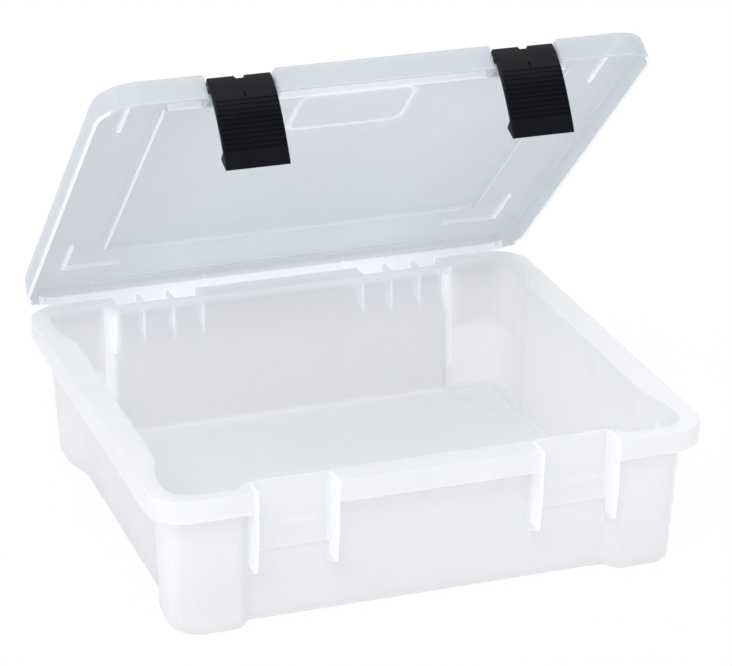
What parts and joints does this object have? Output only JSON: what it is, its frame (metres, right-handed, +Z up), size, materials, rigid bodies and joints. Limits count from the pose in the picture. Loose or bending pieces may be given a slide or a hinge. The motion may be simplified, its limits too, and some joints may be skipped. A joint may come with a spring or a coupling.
{
  "type": "fishing tackle box",
  "caption": "Translucent tackle box: a deep tub, a rear-hinged lid and front latches that swing down and hook under catches on the tub.",
  "frame": {"origin": "centre of the tub's footprint, on the ground under the flat underside", "axes": "+X to the right of someone facing the latches, +Y to the hinged back, +Z up"},
  "size_m": [0.4068, 0.3824, 0.3615],
  "materials": {
    "tub_plastic": "frosted translucent polypropylene with a polished outside",
    "lid_plastic": "frosted translucent polypropylene, satin inside",
    "latch_plastic": "satin black moulded plastic, ribbed grip",
    "pin_steel": "plain drawn steel rod"
  },
  "bodies": {
    "tub": {"tub": "tub_plastic", "hinge_pin_left": "pin_steel", "hinge_pin_right": "pin_steel"},
    "lid": {"lid": "lid_plastic", "latch_pin_left": "pin_steel", "latch_pin_right": "pin_steel"},
    "latch_left": {"latch_left": "latch_plastic"},
    "latch_right": {"latch_right": "latch_plastic"}
  },
  "joints": [
    {"name": "lid_hinge", "type": "hinge", "parent": "tub", "child": "lid", "pos_m": [0, 0.176, 0.0917], "axis": [-1, 0, 0], "range_deg": [-43.5, 62]},
    {"name": "latch_left_pivot", "type": "hinge", "parent": "lid", "child": "latch_left", "pos_m": [-0.1032, -0.05909, 0.35243], "axis": [-1, 0, 0], "range_deg": [-3, 100]},
    {"name": "latch_right_pivot", "type": "hinge", "parent": "lid", "child": "latch_right", "pos_m": [0.1032, -0.05909, 0.35243], "axis": [-1, 0, 0], "range_deg": [-3, 100]}
  ]
}
